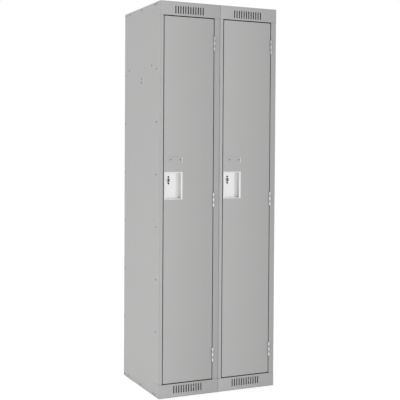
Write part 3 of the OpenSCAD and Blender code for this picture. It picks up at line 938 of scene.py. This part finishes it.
def solids_of(node: str) -> list[Box]:
    """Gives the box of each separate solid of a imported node, in the order of their places.

    Args:
        node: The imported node.

    Returns:
        One box for each solid.
    """
    mesh = bmesh.new()
    mesh.from_mesh(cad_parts[node].data)
    bmesh.ops.remove_doubles(mesh, verts=mesh.verts, dist=WELD)
    left = set(mesh.verts)
    boxes = []
    while left:
        island, edge = set(), [left.pop()]
        while edge:
            vert = edge.pop()
            island.add(vert)
            near = {link.other_vert(vert) for link in vert.link_edges} & left
            left -= near
            edge.extend(near)
        lows = [min(vert.co[axis] for vert in island) for axis in range(3)]
        highs = [max(vert.co[axis] for vert in island) for axis in range(3)]
        boxes.append((Vector(lows), Vector(highs)))
    mesh.free()
    return sorted(boxes, key=lambda box: tuple(round(at, PLACE_DIGITS) for at in middle(*box)))


@dataclass
class Assembly:
    """A group of pieces that are made, coated and hung on a body together."""

    shop: Paintshop

    def hang(self, piece: bpy.types.Object, body: str, finish: Finish, *nodes: str) -> None:
        """Coats a finished piece and lets it move with a body.

        Args:
            piece: The piece.
            body: The body's name.
            finish: The piece's finish.
            nodes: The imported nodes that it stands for.
        """
        self.shop.coat(piece, finish)
        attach(piece, body)
        finish.slot
        if nodes:
            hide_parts(*nodes)
        LOG.info("%s: %d faces on %s", piece.name, len(piece.data.polygons), body)


# ---------------------------------------------------------------------------------------------
# Sheet metal
# ---------------------------------------------------------------------------------------------


@dataclass(frozen=True)
class Fold:
    """How a gauge of sheet bends and how its rims are broken. A bend is no rounder than the sheet."""

    sheet: float
    bend_r: float
    rim_r: float
    segments: int = 3
    shortest_rim: float = 3 * MM
    smooth_angle: float = FORMED_SMOOTH


FRAME_FOLD = Fold(1.5 * MM, 1.4 * MM, 0.3 * MM)
SKIN_FOLD = Fold(1.2 * MM, 1.1 * MM, 0.25 * MM)
SHEET_FOLD = Fold(0.8 * MM, 0.7 * MM, 0.16 * MM, 2)
LEAF_FOLD = Fold(1.2 * MM, 0.25 * MM, 0.2 * MM, 2, 1.0 * MM)
LUG_FOLD = Fold(3 * MM, 0.8 * MM, 0.5 * MM, 3, 2.0 * MM)
PLATE_FOLD = Fold(1 * MM, 0.3 * MM, 0.1 * MM, 2, smooth_angle=15.0)
HOOK_FOLD = Fold(2 * MM, 0.6 * MM, 0.5 * MM, 3, 10 * MM)


@dataclass
class SheetParts(Assembly):
    """Parts folded from sheet, with their bends rounded and their rims broken."""

    def form(
        self, node: str, fold: Fold, body: str, finish: Finish, joints: Sequence[float] = ()
    ) -> None:
        """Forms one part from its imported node.

        Args:
            node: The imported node.
            fold: How its sheet bends.
            body: The body that it moves with.
            finish: Its finish.
            joints: Heights at which it is ground flush with its neighbour, with no broken rim.
        """
        piece = Bench.sheet_copy(node, f"{node}_formed")
        Bench.round_edges(
            piece, lambda edge: crease_of(edge, fold.sheet) is Crease.BEND,
            fold.bend_r, fold.segments,
        )
        Bench.round_edges(
            piece,
            lambda edge: crease_of(edge, fold.sheet) is Crease.CUT
            and edge.calc_length() > fold.shortest_rim and not in_joint(edge, joints),
            fold.rim_r, 1,
        )
        Bench.smooth(piece, fold.smooth_angle)
        self.hang(piece, body, finish, node)


@dataclass
class Carcass(SheetParts):
    """Sides, partition, backs, tops, bottoms and shelves."""

    walls: tuple[str, ...] = ("left_side_panel", "centre_partition", "right_side_panel")
    trays: tuple[str, ...] = ("back_panel", "top_panel", "bottom_panel", "hat_shelf")

    def build(self) -> None:
        """Forms every wall and tray."""
        for wall in self.walls:
            self.form(wall, SHEET_FOLD, ROOT_BODY, Finish.BODY)
        for side in Side:
            for tray in self.trays:
                self.form(side.node(tray), SHEET_FOLD, ROOT_BODY, Finish.BODY)


@dataclass
class DoorFrame(SheetParts):
    """The welded frame around one door."""

    side: Side
    members: tuple[str, ...] = ("header", "footer", "latch_stile", "hinge_stile")

    def build(self) -> None:
        """Forms the members and the padlock lug that is riveted to the latch stile."""
        joints = (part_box(self.side.node("footer"))[1][2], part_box(self.side.node("header"))[0][2])
        for member in self.members:
            self.form(self.side.node(member), FRAME_FOLD, ROOT_BODY, Finish.FRAME, joints)
        self.form(self.side.node("padlock_lug"), LUG_FOLD, ROOT_BODY, Finish.LUG)


@dataclass
class Door(SheetParts):
    """One door: skin, liner, stiffener, handle pan and number plate."""

    side: Side

    def build(self) -> None:
        """Forms the door's sheets."""
        body = self.side.door
        self.form(self.side.node("door_skin"), SKIN_FOLD, body, Finish.DOOR)
        self.form(self.side.node("door_liner"), SHEET_FOLD, body, Finish.LINER)
        self.form(self.side.node("door_stiffener"), SHEET_FOLD, body, Finish.DOOR)
        self.form(self.side.node("handle_pan"), SHEET_FOLD, body, Finish.STAINLESS)
        self.form(self.side.node("number_plate"), PLATE_FOLD, body, Finish.PLATE)


@dataclass
class Hinges(SheetParts):
    """The leaves of one door's three hinges."""

    side: Side

    def build(self) -> None:
        """Forms both sets of leaves."""
        self.form(self.side.node("frame_hinge_leaves"), LEAF_FOLD, ROOT_BODY, Finish.ZINC)
        self.form(self.side.node("door_hinge_leaves"), LEAF_FOLD, self.side.door, Finish.HINGE)


# ---------------------------------------------------------------------------------------------
# Fasteners and fittings
# ---------------------------------------------------------------------------------------------


# Outlines as shares of a radius and of a rise, from the axis outwards.
RIVET_DOME: Outline = ((0.0, 0.0), (0.5, 0.08), (0.82, 0.34), (0.97, 0.72), (1.0, 1.0))
RIVET_TAIL: Outline = ((0.88, 0.0), (0.8, 0.6), (0.5, 0.92))
PAN_HEAD: Outline = ((0.0, 0.0), (0.6, 0.06), (0.88, 0.28), (1.0, 0.66), (1.0, 1.0))
PIN_DOME: Outline = ((0.0, 0.0), (0.55, 0.12), (0.86, 0.42), (1.0, 0.8), (0.97, 1.0))
BUTTON: Outline = ((0.0, 0.0), (0.45, 0.04), (0.75, 0.18), (0.93, 0.44), (1.0, 0.8), (0.96, 1.0))


def scaled(outline: Outline, radius: float, rise: float, start: float = 0.0) -> list[Span]:
    """Scales an outline to a radius and a rise, from a starting height."""
    return [(across * radius, start + along * rise) for across, along in outline]


@dataclass(frozen=True)
class Rivet:
    """A rivet with a domed head and a smaller upset tail."""

    shank_r: float
    head_r: float
    head_h: float
    steps: int = 20

    def model(self, length: float) -> bpy.types.Object:
        """Turns one rivet of a length, head first.

        Args:
            length: Its length in metres.

        Returns:
            The rivet, standing on the origin along +Z.
        """
        tail = length - self.head_h
        return Bench.spun("rivet", [
            *scaled(RIVET_DOME, self.head_r, self.head_h), (self.shank_r, self.head_h),
            (self.shank_r, tail), *scaled(RIVET_TAIL, self.head_r, self.head_h, tail),
            (0.0, length),
        ], self.steps)


@dataclass(frozen=True)
class Bolt:
    """A pan-head machine screw with a cross recess and a threaded end."""

    shank_r: float = 2.4 * MM
    head_r: float = 4.6 * MM
    head_h: float = 1.7 * MM
    pitch: float = 1.2 * MM
    thread_depth: float = 0.22 * MM
    recess: float = 1.1 * MM
    recess_w: float = 0.9 * MM
    recess_span: float = 4.2 * MM
    steps: int = 16

    def model(self, length: float) -> bpy.types.Object:
        """Turns one bolt of a length, head first, and cuts its cross recess.

        Args:
            length: Its length in metres.

        Returns:
            The bolt, standing on the origin along +Z.
        """
        rise, shank = self.head_h, self.shank_r
        outline = [*scaled(PAN_HEAD, self.head_r, rise), (shank, rise)]
        crest = length - self.pitch / 2
        turns = int((length - rise) / self.pitch) - 1
        for turn in range(turns, 0, -1):
            peak = crest - turn * self.pitch
            outline.append((shank, peak))
            outline.append((shank - self.thread_depth, peak + self.pitch / 2))
        outline += [(shank, crest), (shank - 2 * self.thread_depth, length), (0.0, length)]
        bolt = Bench.spun("bolt", outline, self.steps)
        for across, along in ((self.recess_w, self.recess_span), (self.recess_span, self.recess_w)):
            reach = Vector((across, along, 0)) / 2
            low = Vector((0, 0, -rise))
            high = Vector((0, 0, self.recess))
            Bench.cut(bolt, Bench.block("cross", low - reach, high + reach))
        return bolt


@dataclass(frozen=True)
class Nut:
    """A hexagonal nut with broken corners."""

    corner_r: float = 4.6 * MM
    bore_r: float = 2.42 * MM
    corner_break: float = 0.4 * MM
    break_segments: int = 2
    corners: int = 6
    bore_sides: int = 16

    def model(self, length: float) -> bpy.types.Object:
        """Shapes one nut of a height.

        Args:
            length: Its length in metres.

        Returns:
            The nut, standing on the origin along +Z.
        """
        nut = Bench.bar("nut", self.corner_r, (0.0, length), self.corners)
        Bench.round_edges(
            nut, lambda edge: abs(edge.verts[0].co.z - edge.verts[1].co.z) < TINY,
            self.corner_break, self.break_segments,
        )
        Bench.cut(nut, Bench.bar("bore", self.bore_r, (-length, 2 * length), self.bore_sides))
        return nut


@dataclass(frozen=True)
class Pin:
    """A hinge pin with a low dome on each end."""

    shank_r: float = 1.9 * MM
    head_r: float = 3.0 * MM
    head_h: float = 1.0 * MM
    steps: int = 24

    def model(self, length: float) -> bpy.types.Object:
        """Turns one pin of a length.

        Args:
            length: Its length in metres.

        Returns:
            The pin, standing on the origin along +Z.
        """
        head = [*scaled(PIN_DOME, self.head_r, self.head_h), (self.shank_r, self.head_h)]
        far_head = [(radius, length - height) for radius, height in reversed(head)]
        return Bench.spun("pin", head + far_head, self.steps)


@dataclass(frozen=True)
class Bumper:
    """A rubber button: a soft dome, a neck for the hole and a barb behind it."""

    face_r: float = 5.0 * MM
    face_h: float = 2.7 * MM
    neck_r: float = 2.0 * MM
    neck_end: float = 4.2 * MM
    barb_r: float = 3.0 * MM
    barb_lip: float = 0.4 * MM
    barb_tip: float = 0.2 * MM
    barb_taper: Span = (0.97, 0.45)
    steps: int = 28

    def model(self, length: float) -> bpy.types.Object:
        """Turns one button of a length, face first.

        Args:
            length: Its length in metres.

        Returns:
            The button, standing on the origin along +Z.
        """
        lip_r, tip_r = (share * self.barb_r for share in self.barb_taper)
        return Bench.spun("bumper", [
            *scaled(BUTTON, self.face_r, self.face_h), (self.neck_r, self.face_h),
            (self.neck_r, self.neck_end), (self.barb_r, self.neck_end),
            (lip_r, self.neck_end + self.barb_lip), (tip_r, length - self.barb_tip), (0.0, length),
        ], self.steps)


FRAME_RIVET = Rivet(2.0 * MM, 3.6 * MM, 1.2 * MM)
PLATE_RIVET = Rivet(1.6 * MM, 2.8 * MM, 1.1 * MM)
HINGE_RIVET = Rivet(1.6 * MM, 2.5 * MM, 0.5 * MM)


@dataclass
class Fasteners(Assembly):
    """Every bolt, nut, rivet, pin and button, one model for each length."""

    def build(self) -> None:
        """Lays the bank's bolts and nuts, and each locker's own fasteners."""
        for wall, way in (("left", Way.RIGHT), ("centre", Way.RIGHT), ("right", Way.LEFT)):
            self.lay(f"{wall}_panel_bolts", Bolt().model, way, ROOT_BODY, Finish.BOLT)
            self.lay(f"{wall}_panel_nuts", Nut().model, way, ROOT_BODY, Finish.BOLT)
        for side in Side:
            self.lay(
                side.node("ceiling_hook_rivets"), FRAME_RIVET.model, Way.DOWN, ROOT_BODY, Finish.RIVET
            )
            self.lay(side.node("frame_rivets"), FRAME_RIVET.model, Way.BACK, ROOT_BODY, Finish.RIVET)
            self.lay(side.node("door_bumpers"), Bumper().model, Way.BACK, ROOT_BODY, Finish.RUBBER)
            self.lay(side.node("hinge_pins"), Pin().model, Way.UP, ROOT_BODY, Finish.ZINC)
            self.lay(side.node("plate_rivets"), PLATE_RIVET.model, Way.BACK, side.door, Finish.RIVET)
            self.lay(side.node("hinge_rivets"), HINGE_RIVET.model, Way.LEFT, side.door, Finish.RIVET)

    def lay(
        self, node: str, model: Callable[[float], bpy.types.Object], way: Way, body: str,
        finish: Finish,
    ) -> None:
        """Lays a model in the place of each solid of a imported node, all joined as one piece.

        Args:
            node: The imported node.
            model: Makes the fastener for a length, along +Z from the origin.
            way: The way in which the fasteners point.
            body: The body that they move with.
            finish: Their finish.
        """
        models: dict[float, bpy.types.Object] = {}
        laid = []
        for box in solids_of(node):
            length = round(way.length(box), LENGTH_DIGITS)
            if length not in models:
                models[length] = model(length)
                Bench.smooth(models[length], TURNED_SMOOTH)
            laid.append(Bench.copy(models[length], Matrix.Translation(way.foot(box)) @ way.turn))
        for made in models.values():
            bpy.data.objects.remove(made)
        self.hang(Bench.join(f"{node}_turned", laid), body, finish, node)


@dataclass
class Hooks(SheetParts):
    """The coat hooks of one locker."""

    side: Side

    def build(self) -> None:
        """Forms the two wall hooks and the hook under the shelf."""
        self.form(self.side.node("side_hooks"), HOOK_FOLD, ROOT_BODY, Finish.ZINC)
        self.form(self.side.node("ceiling_hook"), HOOK_FOLD, ROOT_BODY, Finish.ZINC)


@dataclass
class Catch(Assembly):
    """The magnetic catch of one locker: a moulded case and two steel pole plates."""

    side: Side
    case_w: float = 13 * MM
    pole_t: float = 1.4 * MM
    pole_spread: float = 2.6 * MM
    pole_margin: float = 5 * MM
    pole_depth: float = 8 * MM
    pole_recess: float = 0.15 * MM
    pole_play: float = 0.12 * MM
    pole_break: float = 0.25 * MM
    pole_segments: int = 2
    rim_r: float = 0.8 * MM
    rim_angle: float = 1.2
    shortest_rim: float = 4 * MM
    rim_segments: int = 3

    def build(self) -> None:
        """Rounds the case, slots it for its pole plates and sets them in."""
        node = self.side.node("magnetic_catch")
        low, high = (Vector(corner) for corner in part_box(node))
        case = Bench.sheet_copy(node, f"{node}_case")
        Bench.round_edges(
            case, lambda edge: edge.is_convex and edge.calc_face_angle(0.0) > self.rim_angle
            and edge.calc_length() > self.shortest_rim, self.rim_r, self.rim_segments,
        )
        poles = []
        centre = high.x - self.case_w / 2
        for offset in (-self.pole_spread, self.pole_spread):
            reach = Vector((self.pole_t / 2, 0.0, -self.pole_margin))
            face = Vector((centre + offset, low.y, low.z)) - reach
            back = Vector((centre + offset, low.y + self.pole_depth, high.z)) + reach
            grow = Vector((self.pole_play, MM, self.pole_play))
            Bench.cut(case, Bench.block("slot", face - grow, back + grow))
            pole = Bench.block("pole", face + Vector((0, self.pole_recess, 0)), back)
            Bench.round_edges(
                pole, lambda edge: edge.calc_length() > self.pole_t, self.pole_break,
                self.pole_segments,
            )
            poles.append(pole)
        Bench.smooth(case)
        self.hang(case, ROOT_BODY, Finish.PLASTIC, node)
        plates = Bench.join(self.side.node("catch_poles"), poles)
        Bench.smooth(plates)
        self.hang(plates, ROOT_BODY, Finish.ZINC)


# ---------------------------------------------------------------------------------------------
# The room
# ---------------------------------------------------------------------------------------------


@dataclass
class Studio:
    """Pale floor, soft light and the camera."""

    floor_size: float = 30.0
    floor_drop: float = 0.1 * MM
    floor_greys: Span = (0.6, 0.64)
    floor_roughness: float = 0.9
    floor_glow: float = 0.7
    speck_pitch: float = 40 * MM
    yaw: float = 23.546
    pitch: float = -1.135
    roll: float = 0.306
    lens_mm: float = 74.768
    sensor_mm: float = 36.0
    shift: Span = (0.085, -0.0817)
    eye: Triple = (-1.7949, -3.7155, 1.1427)
    key_at: Triple = (-3.3, -2.0, 1.05)
    key_toward: Triple = (-0.2, -0.1, 0.95)
    key_size: Span = (1.4, 2.2)
    key_watts: float = 30.0
    room_glow: float = 0.22
    backdrop_edge: Span = (0.3, 0.75)
    flat_toward: Triple = (0.43, -0.9, 0.0)
    flat_edge: Span = (0.72, 0.96)
    flat_glow: float = 1.12
    ceiling_edge: Span = (0.35, 0.9)
    ceiling_glow: float = 0.3

    def build(self) -> None:
        """Sets up the room."""
        self._camera()
        self._floor()
        self._key_light()
        self._room_light()

    def _camera(self) -> None:
        """Adds the camera, turned by its yaw, pitch and roll."""
        yaw, pitch, roll = (math.radians(turn) for turn in (self.yaw, self.pitch, self.roll))
        level = Vector((math.sin(yaw), math.cos(yaw), 0.0))
        ahead = level * math.cos(pitch) + Vector((0, 0, math.sin(pitch)))
        across = Matrix.Rotation(-roll, 3, ahead) @ ahead.cross(Vector((0, 0, 1))).normalized()
        upward = across.cross(ahead)
        data = bpy.data.cameras.new("studio_camera")
        data.lens = self.lens_mm
        data.sensor_width = self.sensor_mm
        data.shift_x, data.shift_y = self.shift
        camera = bpy.data.objects.new("studio_camera", data)
        turn = Matrix((across, upward, -ahead)).transposed().to_4x4()
        camera.matrix_world = Matrix.Translation(self.eye) @ turn
        bpy.context.scene.collection.objects.link(camera)
        bpy.context.scene.camera = camera

    def _floor(self) -> None:
        """Lays the floor just under the cabinet's feet."""
        Bench.clear()
        bpy.ops.mesh.primitive_plane_add(size=self.floor_size, location=(0, 0, -self.floor_drop))
        floor = bpy.context.object
        floor.name = "studio_floor"
        graph = Graph.material("studio_floor")
        speck = graph.noise(graph.place(), self.speck_pitch)
        colour = graph.blend(speck, grey(self.floor_greys[0]), grey(self.floor_greys[1]))
        floor.data.materials.append(graph.finish(
            Base_Color=colour, Roughness=self.floor_roughness, Emission_Color=WHITE,
            Emission_Strength=self.floor_glow,
        ))
        floor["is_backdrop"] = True

    def _key_light(self) -> None:
        """Adds a tall soft light on the left, which isn't seen itself."""
        data = bpy.data.lights.new("key_softbox", "AREA")
        data.shape = "RECTANGLE"
        data.size, data.size_y = self.key_size
        data.energy = self.key_watts
        lamp = bpy.data.objects.new("key_softbox", data)
        lamp.location = self.key_at
        ahead = Vector(self.key_toward) - Vector(self.key_at)
        lamp.rotation_euler = ahead.to_track_quat("-Z", "Y").to_euler()
        lamp.visible_camera = False
        bpy.context.scene.collection.objects.link(lamp)

    def _room_light(self) -> None:
        """Lights the room by the way one looks: backdrop, reflector at front right, and ceiling."""
        world = Graph(bpy.data.worlds.new("studio_world"), "Background")
        toward = world.node("ShaderNodeTexCoord", output="Generated")
        facing = world.node(
            "ShaderNodeVectorMath", {"operation": "DOT_PRODUCT"}, {0: toward, 1: self.flat_toward},
            "Value",
        )
        backdrop = world.ramp(world.axis(toward, "Y"), *self.backdrop_edge)
        flat = world.ramp(facing, *self.flat_edge) * self.flat_glow
        ceiling = world.ramp(world.axis(toward, "Z"), *self.ceiling_edge) * self.ceiling_glow
        glow = self.room_glow + backdrop * (1.0 - self.room_glow) + flat + ceiling
        bpy.context.scene.world = world.finish(Color=WHITE, Strength=glow)
        bpy.context.scene.view_settings.view_transform = "Standard"


def main() -> None:
    """Builds the room and every assembly."""
    logging.basicConfig(level=logging.INFO, format="%(name)s: %(message)s")
    Studio().build()
    shop = Paintshop()
    Carcass(shop).build()
    for side in Side:
        DoorFrame(shop, side).build()
        Door(shop, side).build()
        Hinges(shop, side).build()
        Hooks(shop, side).build()
        Catch(shop, side).build()
    Fasteners(shop).build()


if __name__ == "__main__":
    main()
    [[list(corner) for corner in box] for box in (cad_bounds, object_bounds())]
